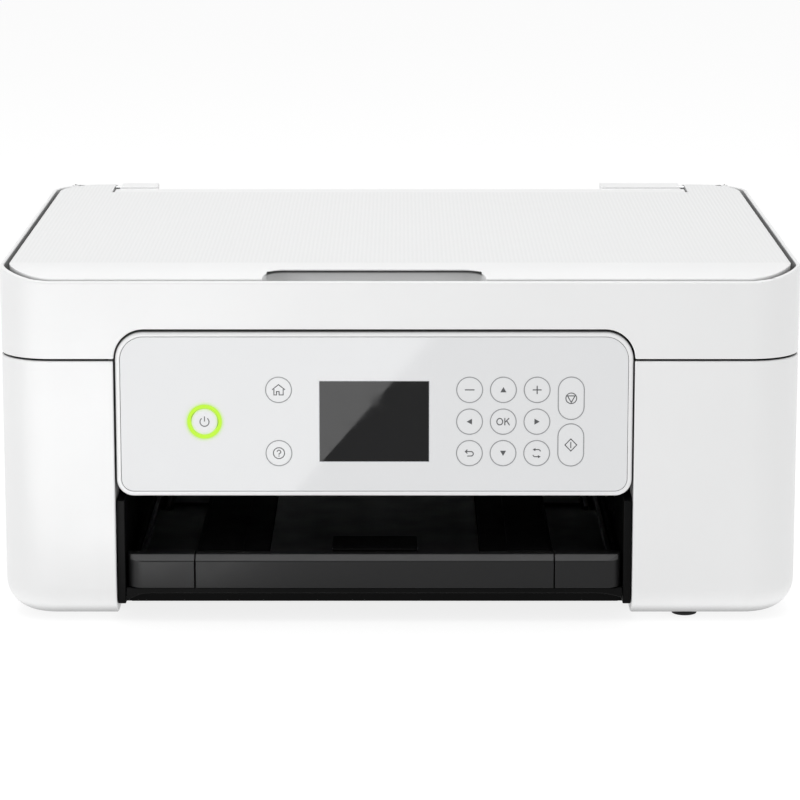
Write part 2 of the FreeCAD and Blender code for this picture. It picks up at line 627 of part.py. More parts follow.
def scanner_case():
    """White upper casing: rim round the lid, deck with the glass opening, bay for the panel."""
    outer = rounded_plan("upper_outer", (LEFT, FRONT), (RIGHT, REAR), "dims.upper_base", "dims.rim_top",
                         "dims.corner_radius")
    shaped = common("upper_shaped", outer, crowned("upper_crown", "dims.upper_base", "dims.rim_top"))
    half, above = 185.7, 180
    front_part = rounded_plan("upper_recess_front", (-half, -148.2), (half, 60), "dims.deck_top", above, 23.5)
    rear_part = rounded_plan("upper_recess_rear", (-half, -60), (half, 147.6), "dims.deck_top", above, 22)
    recess = fuse("upper_recess", front_part, rear_part)
    low = ("%s + dims.shell_wall" % LEFT, "%s + dims.shell_wall" % FRONT)
    high = ("%s - dims.shell_wall" % RIGHT, "%s - dims.shell_wall" % REAR)
    hollow = rounded_plan("upper_hollow", low, high, 120, "dims.deck_top - 2.5",
                          "dims.corner_radius - dims.shell_wall")
    window = block("glass_window", (-149.5, -112, 150), (149.5, 100, 165))
    notch = block("rear_rim_notch", (-154.3, 140, 160), (154.3, REAR + " + 5", 180))
    bay = rounded_front("upper_bay", ("dims.bay_left + 0.3", 100), ("dims.bay_right + 0.1", "dims.bay_top"),
                        -160, "dims.bay_back + 2", 14, 0)
    shell = cut("upper_shell", shaped, recess, hollow, window, notch)
    hood = block("hood_outer", (-137, -148, "dims.upper_base"), (113, "dims.bay_back + 4.5", 143.4))
    extras = [hood, block("rear_bar", (-154.3, 115, 155.6), (154.3, 134, 167))]
    for number, (low_x, high_x) in enumerate(((-151.7, -131.7), (109.1, 152))):
        extras.append(block("hinge_housing_%d" % number, (low_x, 133, 155.6), (high_x, 148, 168.4)))
    body = fuse("upper_body", shell, *extras)
    axis = ("dims.lid_axis_depth", "dims.lid_axis_height")
    bore = rod("hinge_bore", (-200, *axis), "dims.pin_radius + dims.shaft_play", 400)
    keep(cut("scanner_case", body, bay, bore), "scanner_case")


def scanner_base():
    """Floor of the scanner unit, with lugs that hold the guide rod."""
    corners = ((-184.4, 146.8), (-184.4, -146.8), (-137.6, -146.8), (-137.6, -121), (113.6, -121),
               (113.6, -146.8), (184.4, -146.8), (184.4, 146.8))
    plate = pad_outline("scanner_floor", "XY", corners, "dims.upper_base", "dims.upper_base + 2.5")
    plate = round_edges(plate, 22.5, lambda edge: upright(edge) and abs(edge.CenterOfMass.x) > 180)
    lugs = [block("rod_lug_%d" % number, (x, -11, 128), (x + 4, 1, 139))
            for number, x in enumerate((-178, 174))]
    bore = rod("rod_lug_bore", (-200, -5, 134), 3.02, 400)
    keep(cut("scanner_base", fuse("scanner_floor_body", plate, *lugs), bore), "scanner_base")


def scanner_inside():
    """Glass, guide rod, image sensor bar and the curved stay that props the unit open."""
    keep(block("scan_glass", (-157, -118, 152.3), (157, 106, 155.3)), "scan_glass")
    keep(rod("scan_rod", (-178, -5, 134), 3, 356), "scan_rod")
    bar = block("sensor_bar", (-162, -114, 140), (-142, 100, 151.8))
    lug = block("sensor_lug", (-162, -14, 129.4), (-142, 4, 141))
    bore = rod("sensor_bore", (-170, -5, 134), "3 + dims.shaft_play", 40)
    keep(cut("sensor_carriage", fuse("sensor_body", bar, lug), bore), "sensor_carriage")
    downward = FreeCAD.Rotation(-BACK, -UP, ACROSS, "ZXY")
    axis = (160, "dims.scanner_axis_depth", "dims.scanner_axis_height")
    outer = rod("stay_outer", axis, "dims.stay_radius + 4", 4, downward)
    outer.setExpression("Angle", "dims.stay_angle")
    inner = rod("stay_inner", (159, *axis[1:]), "dims.stay_radius - 4", 6, downward)
    foot = block("stay_foot", (158, -60, 124.2), (166, -48, "dims.upper_base"))
    keep(fuse("stay_arm", cut("stay_arc", outer, inner), foot), "stay_arm")


# ---------------------------------------------------------------- lid

def lid_cover():
    """Document lid with rear ears, finger notch and hollow underside."""
    half = "dims.lid_half_width"
    front_part = rounded_plan("lid_front_plan", ("-" + half, "dims.lid_front"), (half, 60),
                              "dims.lid_base", "dims.lid_top + 5", 22.4)
    rear_part = rounded_plan("lid_rear_plan", ("-" + half, -60), (half, "dims.lid_rear"),
                             "dims.lid_base", "dims.lid_top + 5", 28)
    plan = fuse("lid_plan", front_part, rear_part)
    crown = crowned("lid_crown", "dims.lid_base - 1", "dims.lid_top")
    tail = block("lid_tail", (LEFT, 100, 140), (RIGHT, "dims.lid_rear", "dims.lid_top"))
    tail_round = doc.addObject("Part::Fillet", "lid_tail_round")
    tail_round.Base = tail
    doc.recompute()
    fall = value_of(tail, "dims.lid_top - dims.lid_axis_height")
    depth = value_of(tail, "dims.lid_rear")
    height = value_of(tail, "dims.lid_top")
    tail_round.Edges = [(number, fall, fall) for number, edge in enumerate(tail.Shape.Edges, start=1)
                        if runs_along(edge, ACROSS) and abs(edge.CenterOfMass.y - depth) < 0.01
                        and abs(edge.CenterOfMass.z - height) < 0.01]
    body_box = block("lid_main", (LEFT, FRONT, 140), (RIGHT, 101, "dims.lid_top + 1"))
    blank = common("lid_blank", common("lid_shaped", plan, crown), fuse("lid_limits", body_box, tail_round))
    between = block("lid_between_ears", ("-dims.ear_inner", "dims.lid_back_edge", 150),
                    ("dims.ear_inner", REAR + " + 5", 180))
    notch = rounded_plan("lid_notch", (-64, -170), (40, -138), 150, 180, 11)
    scoop = rounded_plan("lid_scoop", (-62, -170), (38, -133.5), 150, "dims.lid_top - 1.9", 9)
    hollow = rounded_plan("lid_hollow", ("-%s + dims.shell_wall" % half, -131),
                          (half + " - dims.shell_wall", "dims.lid_back_edge - dims.shell_wall"),
                          150, "dims.lid_top - 2.2", 12)
    heel = pad_outline("lid_heel", "YZ", ((139.5, 158), (150, 158), (150, 162.5), (147.2, 161)), LEFT, RIGHT)
    axis = ("dims.lid_axis_depth", "dims.lid_axis_height")
    bore = rod("lid_bore", (-166, *axis), "dims.pin_radius + 0.02", 332)
    keep(cut("lid_cover", blank, between, notch, scoop, hollow, heel, bore), "lid_cover")
    keep(rounded_plan("document_mat", (-147, -109.5), (147, 97.5), 156.4, 164.5, 4), "document_mat")
    pins = [rod("lid_pin_%d" % number, (x, *axis), "dims.pin_radius", 18)
            for number, x in enumerate((-165, 147))]
    keep(group("lid_hinge_pins", pins), "lid_hinge_pins")


# ---------------------------------------------------------------- control panel

def panel_housing():
    """White panel shell that frames the fascia and tilts out at its lower edge."""
    low, high = ("dims.bay_left + 0.9", "dims.panel_base"), ("dims.bay_right - 0.7", "dims.panel_top")
    body = rounded_front("panel_blank", low, high, "dims.panel_front", "dims.panel_back", 13, 8)
    face = value_of(body, "dims.panel_front")
    round_edges(body, 1.4, lambda edge: abs(edge.BoundBox.YMax - face) < 0.01)
    seat = rounded_front("panel_seat", ("dims.bay_left + 3.1", "dims.panel_base + 2.2"),
                         ("dims.bay_right - 2.9", "dims.panel_top - 2.2"), -160, "dims.fascia_back", 11, 6)
    hollow = rounded_front("panel_hollow", ("dims.bay_left + 4.9", "dims.panel_base + 4"),
                           ("dims.bay_right - 4.7", "dims.panel_top - 4"), -160, "dims.panel_back - 2", 9, 4)
    keep(cut("panel_housing", body, seat, hollow), "panel_housing")


def key_hole_sketch(body):
    sketch = add_sketch(body, "XZ_Plane", "-(dims.fascia_back + 1)")
    for name, x, z in ROUND_KEYS:
        draw_circle(sketch, (x, z), KEY_HOLE)
    draw_circle(sketch, POWER_KEY[1:], RING_OUTER + 0.05)
    left, right, base, top = DISPLAY
    draw_outline(sketch, rectangle((left - 0.05, base - 0.05), (right + 0.05, top + 0.05)))
    return sketch


def stadium(name, x, z, radius, front, back):
    """Oblong upright prism along Y with round ends."""
    ends = [rod("%s_end_%d" % (name, sign), (x, front, z + sign * LONG_KEY_HALF), radius,
                "(%s) - (%s)" % (back, front), ALONG_Y) for sign in (-1, 1)]
    middle = block(name + "_middle", (x - radius, front, z - LONG_KEY_HALF),
                   (x + radius, back, z + LONG_KEY_HALF))
    return fuse(name, middle, *ends)


def panel_fascia():
    """Glossy front plate with holes for the keys, light ring and display."""
    body = rounded_front("fascia_blank", ("dims.bay_left + 3.3", "dims.panel_base + 2.4"),
                         ("dims.bay_right - 3.1", "dims.panel_top - 2.4"),
                         "dims.fascia_front", "dims.fascia_back", 10.8, 5.8)
    solid_volume = body.Shape.Volume
    pocket = body.newObject("PartDesign::Pocket", "fascia_holes")
    pocket.Profile = key_hole_sketch(body)
    pocket.Length = 10
    pocket.Midplane = True
    doc.recompute()
    body.Tip = pocket
    doc.recompute()
    if body.Shape.Volume > solid_volume - 100:
        raise RuntimeError("the fascia's key holes cut nothing")
    slots = [stadium(name + "_hole", x, z, KEY_HOLE, -155, -140) for name, x, z in LONG_KEYS]
    keep(cut("panel_fascia", body, *slots), "panel_fascia")


def panel_inside():
    """Display, circuit board and light ring."""
    left, right, base, top = DISPLAY
    keep(block("display", (left, "dims.fascia_front + 0.1", base), (right, -144, top)), "display")
    board = block("panel_board_plate", (-120, -141.6, 70), (96, -140, 130))
    keep(board, "panel_board")
    axis = (POWER_KEY[1], "dims.fascia_front", POWER_KEY[2])
    outer = rod("ring_outer", axis, RING_OUTER, 4.5, ALONG_Y)
    inner = rod("ring_inner", (axis[0], -155, axis[2]), RING_INNER, 20, ALONG_Y)
    keep(cut("power_ring", outer, inner), "power_ring")


def round_key(name, x, z, radius, flange):
    """Round key: cap through the fascia and a retaining flange behind it."""
    parts = [rod(name + "_cap", (x, "dims.fascia_front", z), radius, "6.2 - dims.play", ALONG_Y)]
    if flange:
        parts.append(rod(name + "_flange", (x, "dims.fascia_back + 0.4", z), flange, 1.2, ALONG_Y))
    keep(fuse(name + "_solid", *parts) if flange else parts[0], name)


def keys():
    for name, x, z in ROUND_KEYS:
        round_key(name, x, z, KEY_RADIUS, KEY_HOLE + 0.6)
    round_key(*POWER_KEY, POWER_RADIUS, 0)
    for name, x, z in LONG_KEYS:
        cap = stadium(name + "_cap", x, z, KEY_RADIUS, "dims.fascia_front", "dims.fascia_front + 6.15")
        flange = stadium(name + "_flange", x, z, KEY_HOLE + 0.5,
                         "dims.fascia_back + 0.4", "dims.fascia_back + 1.6")
        keep(fuse(name + "_solid", cap, flange), name)


# ---------------------------------------------------------------- assembly

def build():
    make_sheet()
    shell = side_covers()
    rear_panel(shell)
    case_screws()
    base_pan()
    rubber_feet()
    inner_frame()
    chassis()
    drive_parts()
    roller("feed_roller", "dims.roller_depth", 7)
    roller("eject_roller", "dims.eject_depth", 5)
    paper_platen()
    maintenance()
    print_carriage()
    electronics()
    rear_cover()
    paper_cassette()
    edge_guide("edge_guide_left", -116.5, -1)
    edge_guide("edge_guide_right", 93.5, 1)
    output_trays()
    scanner_case()
    scanner_base()
    scanner_inside()
    lid_cover()
    panel_housing()
    panel_fascia()
    panel_inside()
    keys()


def check():
    doc.recompute()
    for obj in doc.Objects:
        if "Invalid" in obj.State or "Error" in obj.State:
            raise RuntimeError("%s failed: %s" % (obj.Name, obj.State))
    for part in sub_parts:
        if part.Shape.isNull() or not part.Shape.isValid():
            raise RuntimeError("%s has no valid shape" % part.Label)


def export():
    os.makedirs("parts", exist_ok=True)
    for part in sub_parts:
        part.Shape.exportStep("parts/%s.step" % part.Label)
        print("%-22s %9.0f mm3  %d solids" % (part.Label, part.Shape.Volume, len(part.Shape.Solids)))
    print(len(sub_parts), "sub-parts")


build()
check()
export()
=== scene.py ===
import json
import math

import bmesh
import bpy
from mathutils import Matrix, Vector


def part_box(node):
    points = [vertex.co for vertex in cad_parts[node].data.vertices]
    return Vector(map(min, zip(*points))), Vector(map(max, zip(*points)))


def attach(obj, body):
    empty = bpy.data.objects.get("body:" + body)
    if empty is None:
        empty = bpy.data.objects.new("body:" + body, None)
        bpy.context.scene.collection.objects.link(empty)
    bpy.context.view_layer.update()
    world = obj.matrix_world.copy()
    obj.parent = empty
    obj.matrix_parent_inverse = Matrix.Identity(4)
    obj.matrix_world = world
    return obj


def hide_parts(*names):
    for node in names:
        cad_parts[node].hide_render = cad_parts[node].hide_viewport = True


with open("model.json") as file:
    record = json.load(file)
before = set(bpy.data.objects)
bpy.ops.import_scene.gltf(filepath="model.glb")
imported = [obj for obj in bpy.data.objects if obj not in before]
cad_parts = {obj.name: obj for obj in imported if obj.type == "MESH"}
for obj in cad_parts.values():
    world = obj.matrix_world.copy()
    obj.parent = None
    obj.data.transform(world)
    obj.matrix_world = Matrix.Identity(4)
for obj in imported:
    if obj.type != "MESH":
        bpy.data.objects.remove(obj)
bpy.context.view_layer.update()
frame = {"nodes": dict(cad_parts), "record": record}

MM = 0.001
SLOT_OF = {part["node"]: part["material_slot"] for part in frame["record"]["subparts"]}
BODY_OF = {node: body for body, nodes in frame["record"]["behaviour"]["bodies"].items() for node in nodes}


# ---------------------------------------------------------------- materials

# Colour sockets of the Mix node, which has other sockets of the same names.
MIX_FACTOR, MIX_FIRST, MIX_SECOND, MIX_RESULT = 0, 6, 7, 2


class Surface:
    """One procedural material and the nodes that feed its shader."""

    def __init__(self, name, color, roughness, specular=0.5):
        self.material = bpy.data.materials.new(name)
        self.material.use_nodes = True
        self.tree = self.material.node_tree
        self.shader = self.tree.nodes["Principled BSDF"]
        self.color = color
        self.roughness = roughness
        self.set("Base Color", (*color, 1))
        self.set("Roughness", roughness)
        self.set("Specular IOR Level", specular)
        self.place = self.add("ShaderNodeTexCoord").outputs["Object"]

    def set(self, socket, value):
        self.shader.inputs[socket].default_value = value

    def add(self, kind, **values):
        node = self.tree.nodes.new(kind)
        for key, value in values.items():
            setattr(node, key, value)
        return node

    def feed(self, node, socket, source):
        """Link an output, or set a plain value, on one input of a node."""
        if isinstance(source, bpy.types.NodeSocket):
            self.tree.links.new(source, node.inputs[socket])
        else:
            node.inputs[socket].default_value = source

    def noise(self, scale, detail=2.0, stretch=None):
        node = self.add("ShaderNodeTexNoise")
        place = self.place
        if stretch:
            mapping = self.add("ShaderNodeMapping")
            self.feed(mapping, "Vector", place)
            mapping.inputs["Scale"].default_value = stretch
            place = mapping.outputs["Vector"]
        self.feed(node, "Vector", place)
        self.feed(node, "Scale", scale)
        self.feed(node, "Detail", detail)
        return node.outputs["Fac"]

    def spread(self, source, low, high, low_out, high_out):
        """Map one range to another, held at both ends."""
        node = self.add("ShaderNodeMapRange")
        values = {"Value": source, "From Min": low, "From Max": high, "To Min": low_out, "To Max": high_out}
        for socket, value in values.items():
            self.feed(node, socket, value)
        return node.outputs["Result"]

    def drift(self, scale, low=0, high=1, detail=3, stretch=None):
        """Slow noise that moves between two values."""
        return self.spread(self.noise(scale, detail, stretch), 0.3, 0.7, low, high)

    def math(self, operation, first, second=0.0):
        node = self.add("ShaderNodeMath", operation=operation)
        self.feed(node, 0, first)
        self.feed(node, 1, second)
        return node.outputs[0]

    def product(self, first, *others):
        for other in others:
            first = self.math("MULTIPLY", first, other)
        return first

    def axes(self):
        """Separate X, Y and Z of the point on the piece."""
        split = self.add("ShaderNodeSeparateXYZ")
        self.feed(split, "Vector", self.place)
        return split.outputs

    def base_color(self):
        """Output that feeds the base colour so far."""
        return self.shader.inputs["Base Color"].links[0].from_socket

    def blend(self, factor, first, second, mode="MIX"):
        """Colour made of two colours by a factor."""
        node = self.add("ShaderNodeMix", data_type="RGBA", blend_type=mode)
        self.feed(node, MIX_FACTOR, factor)
        for socket, color in ((MIX_FIRST, first), (MIX_SECOND, second)):
            self.feed(node, socket, color if isinstance(color, bpy.types.NodeSocket) else (*color, 1))
        return node.outputs[MIX_RESULT]

    def paint(self, color):
        self.feed(self.shader, "Base Color", color)
        return self

    def vary_color(self, scale, amount, stretch=None):
        """Slow drift of the base colour, as moulded and painted surfaces have."""
        factor = self.drift(scale, stretch=stretch)
        darker = [channel * (1 - amount) for channel in self.color]
        lighter = [min(1, channel * (1 + amount)) for channel in self.color]
        return self.paint(self.blend(factor, darker, lighter))

    def vary_roughness(self, scale, amount, stretch=None):
        low, high = self.roughness - amount, self.roughness + amount
        self.feed(self.shader, "Roughness", self.drift(scale, low, high, stretch=stretch))
        return self

    def relief(self, height, depth, strength=1.0):
        """Bump from a height in 0 to 1 that stands for a depth in metres."""
        bump = self.add("ShaderNodeBump")
        self.feed(bump, "Height", height)
        self.feed(bump, "Distance", depth)
        self.feed(bump, "Strength", strength)
        self.feed(self.shader, "Normal", bump.outputs["Normal"])
        return self

    def paint_gap_shade(self, reach, darkest):
        """Painted shade: less colour in narrow gaps and under edges, where shade falls."""
        contrast, open_enough = 1.3, 0.62
        # Painted shade: the base colour is multiplied down where the surface is occluded.
        hidden = self.add("ShaderNodeAmbientOcclusion", samples=8)
        self.feed(hidden, "Distance", reach)
        light = self.math("POWER", hidden.outputs["AO"], contrast)
        shade = self.spread(light, 0.0, open_enough, darkest, 1.0)
        grey = self.add("ShaderNodeCombineColor")
        for channel in ("Red", "Green", "Blue"):
            self.feed(grey, channel, shade)
        return self.paint(self.blend(1.0, self.base_color(), grey.outputs["Color"], "MULTIPLY"))

    def grain(self, scale, depth, strength=1.0, stretch=None):
        """Bump from fine noise, its depth in metres."""
        return self.relief(self.noise(scale, 2, stretch), depth, strength)


def moulded(name, color, roughness, specular, grain_scale, grain_depth, drift=0.012):
    """Moulded plastic: slow colour drift, uneven gloss and a fine grain, its depth in metres."""
    surface = Surface(name, color, roughness, specular)
    surface.vary_color(14, drift).vary_roughness(60, 0.04).grain(grain_scale, grain_depth)
    return surface


# Name, colour, roughness, specular level, grain scale, grain depth in metres and colour drift.
PLASTICS = {
    "fascia": ("fascia_gloss", (0.822, 0.828, 0.837), 0.05, 0.17, 300, 0.8e-6, 0.006),
    "key_caps": ("key_gloss", (0.832, 0.838, 0.847), 0.09, 0.17, 400, 0.8e-6, 0.006),
    "display_glass": ("display_black", (0.0045, 0.0045, 0.005), 0.035, 0.2, 200, 0.4e-6, 0.1),
    "grey_plastic": ("plastic_grey", (0.30, 0.31, 0.32), 0.45, 0.4, 1500, 20e-6, 0.04),
    "rubber": ("rubber_black", (0.012, 0.012, 0.012), 0.75, 0.3, 900, 50e-6, 0.15),
    "foam": ("mat_foam", (0.86, 0.86, 0.855), 0.85, 0.2, 700, 60e-6, 0.02),
    "cartridge_case": ("cartridge_shell", (0.03, 0.03, 0.033), 0.4, 0.4, 1200, 10e-6, 0.06),
}
# Name, colour and roughness.
METALS = {
    "steel": ("steel_plated", (0.74, 0.75, 0.76), 0.36),
    "motor_can": ("motor_steel", (0.52, 0.52, 0.53), 0.35),
    "brass": ("brass_turned", (0.74, 0.58, 0.28), 0.25),
}


def make_materials():
    """Material of each slot in the record."""
    materials = {slot: moulded(*values).material for slot, values in PLASTICS.items()}
    materials.update({slot: brushed(*values) for slot, values in METALS.items()})
    materials["white_casing"] = casing_material()
    materials["black_plastic"] = frame_material()
    materials["dark_tray"] = tray_material()
    materials["clear_glass"] = glass("flatbed_glass")
    materials["felt"] = felt("waste_felt")
    materials["circuit_board"] = board("circuit_green")
    materials["light_ring"] = glowing("ring_lime", (0.56, 0.93, 0.075), 1.0)
    return materials


def casing_material():
    """Satin white plastic, with painted shade in its seams and where it curves under near the floor."""
    surface = moulded("casing_white", (0.885, 0.887, 0.888), 0.42, 0.35, 1900, 0.000012)
    # Painted shade in the seams and on the lowest curves near the floor.
    return surface.paint_gap_shade(0.011, 0.32).material


def frame_material():
    """Black moulding, matte, with painted shade: deep black round the mouth, a little greyer on the deck
    above it.
    """
    mouth_top, deck_start = 0.068, 0.085
    surface = moulded("plastic_black", (0.0028, 0.0028, 0.0029), 0.5, 0.07, 1600, 0.00002, 0.08)
    # Painted shade: colour set by height, darker below the deck round the mouth.
    high = surface.spread(surface.axes()["Z"], mouth_top, deck_start, 0, 1)
    return surface.paint(surface.blend(high, surface.base_color(), (0.013, 0.013, 0.0135))).material


def tray_material():
    """Charcoal plastic with painted shade in its hollows, and a painted highlight on the bar's sloped upper
    edge.
    """
    surface = moulded("tray_charcoal", (0.0115, 0.0115, 0.0120), 0.36, 0.20, 1500, 0.00001, 0.05)
    # Painted shade in hollows and gaps, deepest inside the mouth.
    surface.paint_gap_shade(0.05, 0.04)
    axes = surface.axes()
    low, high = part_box("paper_cassette")
    slope, blur = 2.8 * MM, 0.3 * MM
    face_top, slope_back = high.z - slope, low.y + slope
    # Painted highlight: paler colour on the bar's sloped upper edge.
    above_face = surface.spread(axes["Z"], face_top, face_top + blur, 0, 1)
    before_top = surface.spread(axes["Y"], slope_back + blur / 3, slope_back + blur, 1, 0)
    slope_highlight = surface.product(above_face, before_top)
    return surface.paint(surface.blend(slope_highlight, surface.base_color(), (0.062, 0.062, 0.063))).material


def brushed(name, color, roughness):
    """Metal with fine marks along one direction."""
    surface = Surface(name, color, roughness)
    surface.set("Metallic", 1.0)
    long_marks = (6.0, 6.0, 260.0)
    surface.vary_color(9, 0.03).vary_roughness(12, 0.04, long_marks).grain(14, 0.000001, 0.25, long_marks)
    return surface.material


def glass(name):
    surface = Surface(name, (0.93, 0.98, 0.96), 0.02)
    surface.set("Transmission Weight", 0.92)
    surface.set("IOR", 1.46)
    surface.vary_roughness(40, 0.01)
    return surface.material


def felt(name):
    surface = Surface(name, (0.72, 0.71, 0.68), 0.95, 0.1)
    surface.set("Sheen Weight", 0.4)
    surface.vary_color(45, 0.12).grain(1400, 0.0004)
    return surface.material


def board(name):
    """Green solder mask over a net of raised copper traces."""
    surface = Surface(name, (0.02, 0.16, 0.06), 0.35)
    cells = surface.add("ShaderNodeTexVoronoi", feature="DISTANCE_TO_EDGE", distance="CHEBYCHEV")
    surface.feed(cells, "Vector", surface.place)
    surface.feed(cells, "Scale", 260)
    trace = surface.spread(cells.outputs["Distance"], 0.04, 0.09, 1, 0)
    surface.paint(surface.blend(trace, (0.015, 0.12, 0.045), (0.06, 0.26, 0.10)))
    return surface.relief(trace, 0.04 * MM).material


UNLIT_RING = (0.02, 0.04, 0.005)


def glowing(name, color, strength):
    """Light ring that shines in its own colour."""
    surface = Surface(name, UNLIT_RING, 0.5, 0.0)
    surface.set("Emission Strength", strength)
    factor = surface.drift(120, detail=2)
    dimmer = [channel * 0.97 for channel in color]
    surface.feed(surface.shader, "Emission Color", surface.blend(factor, dimmer, color))
    surface.vary_roughness(60, 0.03)
    return surface.material


def printed(name, color):
    """Ink of the printed symbols, lines and labels."""
    surface = Surface(name, color, 0.35, 0.2)
    surface.vary_color(800, 0.05).vary_roughness(300, 0.05)
    return surface.material


LID_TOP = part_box("lid_cover")[1].z
LID_TEXTURE_START = -0.1262
LID_LINE_SCALE = 157
ROLL_START = -0.127
ROLL_RADIUS = 0.0538
NOTCH_MIDDLE = -0.012
NOTCH_HALF = 0.0518


def lid_material():
    """White lid: fine lines behind the smooth front band, painted shade in the finger notch's undercut, and
    painted shade in its gaps.
    """
    blur = 0.4 * MM
    surface = Surface("lid_white", (0.90, 0.902, 0.904), 0.42, 0.4)
    axes = surface.axes()
    behind_band = surface.spread(axes["Y"], LID_TEXTURE_START - blur, LID_TEXTURE_START + blur, 0, 1)
    on_top = surface.spread(axes["Z"], LID_TOP - 2 * blur, LID_TOP - blur, 0, 1)
    mask = surface.product(behind_band, on_top)
    lines = surface.add("ShaderNodeTexWave", wave_type="BANDS", bands_direction="X")
    surface.feed(lines, "Vector", surface.place)
    surface.feed(lines, "Scale", LID_LINE_SCALE)
    surface.feed(lines, "Distortion", 0.5)
    surface.feed(lines, "Detail", 1.0)
    height = surface.product(lines.outputs["Fac"], mask)
    shade = surface.product(surface.spread(lines.outputs["Fac"], 0, 1, 1.0, 0.35), mask)
    plain = surface.blend(surface.drift(14), (0.878, 0.880, 0.881), (0.89, 0.892, 0.893))
    textured = surface.blend(shade, plain, (0.825, 0.829, 0.829))
    # Painted shade: near black under the lid's edge in the finger notch.
    surface.paint(surface.blend(notch_shade(surface, axes), textured, (0.02, 0.02, 0.02)))
    # Painted shade in the lid's gaps and under its edges.
    surface.paint_gap_shade(0.006, 0.30)
    surface.vary_roughness(60, 0.04).relief(height, 0.09 * MM, 0.45)
    return surface.material


def notch_shade(surface, axes):
    """Amount of painted shade under the lid's edge in the finger notch, from 0 to about 1."""
    end_blur, scoop_front, scoop_back = 0.7 * MM, (-0.1450, -0.1405), (-0.1332, -0.1330)
    skin = (LID_TOP - 0.45 * MM, LID_TOP - 0.35 * MM)
    ceiling = (LID_TOP - 1.95 * MM, LID_TOP - 1.92 * MM)
    pale_bottom, dark_bottom, dark_top = LID_TOP - 7.2 * MM, LID_TOP - 4.0 * MM, LID_TOP - 3.3 * MM
    pale_shade, dark_shade = 0.28, 0.68
    off_middle = surface.math("ABSOLUTE", surface.math("SUBTRACT", axes["X"], NOTCH_MIDDLE))
    between_ends = surface.spread(off_middle, NOTCH_HALF + end_blur, NOTCH_HALF, 0, 1)
    before_back = surface.spread(axes["Y"], *scoop_back, 1, 0)
    behind_front = surface.spread(axes["Y"], *scoop_front, 0, 1)
    past_roll = surface.math("POWER", surface.math("SUBTRACT", axes["Y"], ROLL_START), 2.0)
    level = surface.math("ADD", axes["Z"], surface.math("DIVIDE", past_roll, 2 * ROLL_RADIUS))
    below_skin = surface.spread(level, *skin, 1, 0)
    below_ceiling = surface.spread(axes["Z"], *ceiling, 1, 0)
    in_notch = surface.product(between_ends, before_back, behind_front, below_skin, below_ceiling)
    pale = surface.spread(axes["Z"], pale_bottom, dark_bottom, 0.0, pale_shade)
    dark = surface.spread(axes["Z"], dark_bottom, dark_top, 0.0, dark_shade)
    return surface.product(in_notch, surface.math("ADD", pale, dark))


def glow_material(inner, outer, reach):
    """Painted glow: light that fades away from a ring, by distance from the piece's own centre."""
    fade, strongest = 3.0, 0.55
    surface = Surface("ring_glow", UNLIT_RING, 0.5, 0.0)
    length = surface.add("ShaderNodeVectorMath", operation="LENGTH")
    surface.feed(length, 0, surface.place)
    radius = length.outputs["Value"]
    outside = surface.spread(radius, outer, outer + reach, 1, 0)
    inside = surface.spread(radius, inner - reach, inner, 0, 1)
    near = surface.math("POWER", surface.product(outside, inside), fade)
    surface.feed(surface.shader, "Alpha", surface.product(near, strongest))
    surface.set("Emission Color", (0.60, 0.95, 0.12, 1))
    surface.set("Emission Strength", 0.95)
    return surface.material


MATERIALS = make_materials()
# Darker, matte copy of the tray plastic: painted shade for the parts deep inside the mouth.
TRAY_PAINTED_SHADE = moulded("tray_painted_shade", (0.0028, 0.0028, 0.0029), 0.6, 0.06, 1500, 0.00002, 0.08).material
LID = lid_material()
SYMBOL = printed("symbol_grey", (0.105, 0.107, 0.112))
OUTLINE = printed("outline_grey", (0.33, 0.335, 0.345))
DISPLAY_EDGE = printed("display_edge_grey", (0.55, 0.56, 0.58))


# ---------------------------------------------------------------- pieces

def add_object(name, mesh, material):
    obj = bpy.data.objects.new(name, mesh)
    bpy.context.scene.collection.objects.link(obj)
    obj.data.materials.clear()
    obj.data.materials.append(material)
    return obj


WELD_DISTANCE = 0.002 * MM
FLAT_ANGLE = math.radians(0.5)
EDGE_ANGLE = math.radians(32)


def softened(node, width, material=None, segments=2):
    """Copy of a CAD part with clean faces and small rounded edges, standing for that part."""
    mesh = frame["nodes"][node].data.copy()
    work = bmesh.new()
    work.from_mesh(mesh)
    bmesh.ops.remove_doubles(work, verts=work.verts, dist=WELD_DISTANCE)
    bmesh.ops.dissolve_limit(work, angle_limit=FLAT_ANGLE, verts=work.verts, edges=work.edges)
    for face in work.faces:
        face.smooth = True
    for edge in work.edges:
        edge.smooth = len(edge.link_faces) == 2 and edge.calc_face_angle(0) < EDGE_ANGLE
    work.to_mesh(mesh)
    work.free()
    if "custom_normal" in mesh.attributes:
        mesh.attributes.remove(mesh.attributes["custom_normal"])
    obj = add_object(node + "_piece", mesh, material or MATERIALS[SLOT_OF[node]])
    if width:
        bevel = obj.modifiers.new("edges", "BEVEL")
        bevel.width = width
        bevel.segments = segments
        bevel.limit_method = "ANGLE"
        bevel.angle_limit = EDGE_ANGLE
        bevel.use_clamp_overlap = False
    weighted = obj.modifiers.new("normals", "WEIGHTED_NORMAL")
    weighted.keep_sharp = True
    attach(obj, BODY_OF[node])
    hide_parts(node)
    return obj


def arc(centre, radius, start, end, steps=16):
    """Points along an arc in the front plane, in millimetres and degrees."""
    points = []
    for index in range(steps + 1):
        turn = math.radians(start + (end - start) * index / steps)
        points.append((centre[0] + radius * math.cos(turn), centre[1] + radius * math.sin(turn)))
    return points


def circle(radius, steps=40):
    return arc((0, 0), radius, 0, 360, steps)[:-1]


def stadium(radius, half, steps=14):
    return arc((0, half), radius, 0, 180, steps) + arc((0, -half), radius, 180, 360, steps)


